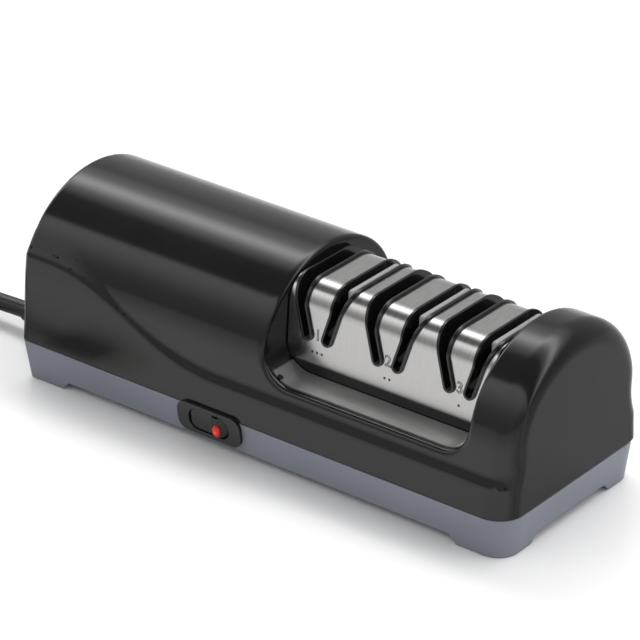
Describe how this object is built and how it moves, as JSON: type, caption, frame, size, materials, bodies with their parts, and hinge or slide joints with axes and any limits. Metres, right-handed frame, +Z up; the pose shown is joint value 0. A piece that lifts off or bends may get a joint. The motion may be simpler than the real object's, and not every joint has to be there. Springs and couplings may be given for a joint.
{
  "type": "electric knife sharpener",
  "caption": "Countertop electric knife sharpener: gloss black arched housing on a grey base, slotted steel guide block in a saddle recess, lit rocker switch, coiled lead with plug",
  "frame": {"origin": "middle of the footprint, on the plane that the rubber pads stand on", "axes": "+X along the length towards the end cap, -Y is the switch side, +Z up"},
  "size_m": [0.3743, 0.1608, 0.0839],
  "materials": {
    "housing_plastic": "polished gloss black moulding",
    "base_plastic": "fine satin grey moulding",
    "guide_plastic": "fine matt black moulding",
    "cover_steel": "brushed along the length",
    "deck_steel": "fine satin",
    "rail_plastic": "smooth satin grey",
    "bracket_plastic": "plain moulded",
    "bell_plastic": "plain moulded",
    "fan_plastic": "plain moulded, off white",
    "switch_plastic": "fine satin black",
    "rocker_plastic": "semi gloss black",
    "lens": "clear red, lit when on",
    "lead_rubber": "matt black flexible vinyl",
    "rubber": "matt, soft grip",
    "screw_steel": "zinc plated",
    "spindle_steel": "ground",
    "motor_steel": "plated sheet steel",
    "magnet": "ferrite grey",
    "winding": "enamelled copper",
    "bronze": "bright brass",
    "carbon": "graphite",
    "board": "laminate with soldered parts",
    "diamond": "steel faced with fine grit",
    "abrasive": "pale bonded abrasive"
  },
  "bodies": {
    "housing": {"base_shell": "base_plastic", "rubber_pads": "rubber", "base_screws": "screw_steel", "upper_housing": "housing_plastic", "guide_module": "guide_plastic", "steel_cover": "cover_steel", "deck_plate_front": "deck_steel", "deck_plate_back": "deck_steel", "blade_rails": "rail_plastic", "bearing_bracket_left": "bracket_plastic", "bearing_bracket_right": "bracket_plastic", "bearing_bushes": "bronze", "bracket_screws": "screw_steel", "motor_can": "motor_steel", "end_bell_brush": "bell_plastic", "end_bell_drive": "motor_steel", "field_magnets": "magnet", "brush_holders": "bronze", "carbon_brushes": "carbon", "motor_cradle": "bracket_plastic", "motor_straps": "motor_steel", "strap_screws": "screw_steel", "rectifier_board": "board", "switch_bezel": "switch_plastic", "switch_case": "switch_plastic", "switch_terminals": "bronze", "strain_relief": "lead_rubber", "power_lead": "lead_rubber", "lead_coil": "lead_rubber", "plug_lead": "lead_rubber", "plug_body": "lead_rubber", "plug_blades": "bronze"},
    "spindle": {"drive_spindle": "spindle_steel", "rotor_core": "motor_steel", "rotor_windings": "winding", "commutator": "winding", "cooling_fan": "fan_plastic", "retaining_clips": "spindle_steel", "disc_springs": "spindle_steel"},
    "rocker": {"switch_rocker": "rocker_plastic", "switch_lens": "lens"},
    "coarse_disc_left_body": {"coarse_disc_left": "diamond"},
    "coarse_disc_right_body": {"coarse_disc_right": "diamond"},
    "fine_disc_left_body": {"fine_disc_left": "diamond"},
    "fine_disc_right_body": {"fine_disc_right": "diamond"},
    "polishing_disc_left_body": {"polishing_disc_left": "abrasive"},
    "polishing_disc_right_body": {"polishing_disc_right": "abrasive"}
  },
  "joints": [
    {"name": "spindle_spin", "type": "hinge", "parent": "housing", "child": "spindle", "pos_m": [0.0523, -0.0015, 0.044], "axis": [1, 0, 0], "continuous": true},
    {"name": "coarse_disc_left_press_in", "type": "slide", "parent": "spindle", "child": "coarse_disc_left_body", "axis": [1, 0, 0], "range_m": [0, 0.0012], "stiffness_N_per_m": 800, "deforming": ["disc_springs"]},
    {"name": "coarse_disc_right_press_in", "type": "slide", "parent": "spindle", "child": "coarse_disc_right_body", "axis": [-1, 0, 0], "range_m": [0, 0.0012], "stiffness_N_per_m": 800, "deforming": ["disc_springs"]},
    {"name": "fine_disc_left_press_in", "type": "slide", "parent": "spindle", "child": "fine_disc_left_body", "axis": [1, 0, 0], "range_m": [0, 0.0012], "stiffness_N_per_m": 800, "deforming": ["disc_springs"]},
    {"name": "fine_disc_right_press_in", "type": "slide", "parent": "spindle", "child": "fine_disc_right_body", "axis": [-1, 0, 0], "range_m": [0, 0.0012], "stiffness_N_per_m": 800, "deforming": ["disc_springs"]},
    {"name": "polishing_disc_left_press_in", "type": "slide", "parent": "spindle", "child": "polishing_disc_left_body", "axis": [1, 0, 0], "range_m": [0, 0.0012], "stiffness_N_per_m": 800, "deforming": ["disc_springs"]},
    {"name": "polishing_disc_right_press_in", "type": "slide", "parent": "spindle", "child": "polishing_disc_right_body", "axis": [-1, 0, 0], "range_m": [0, 0.0012], "stiffness_N_per_m": 800, "deforming": ["disc_springs"]},
    {"name": "rocker_press", "type": "hinge", "parent": "housing", "child": "rocker", "pos_m": [-0.0226, -0.04496, 0.01336], "axis": [0, 0.128, -0.9918], "range_deg": [0, 9]}
  ]
}
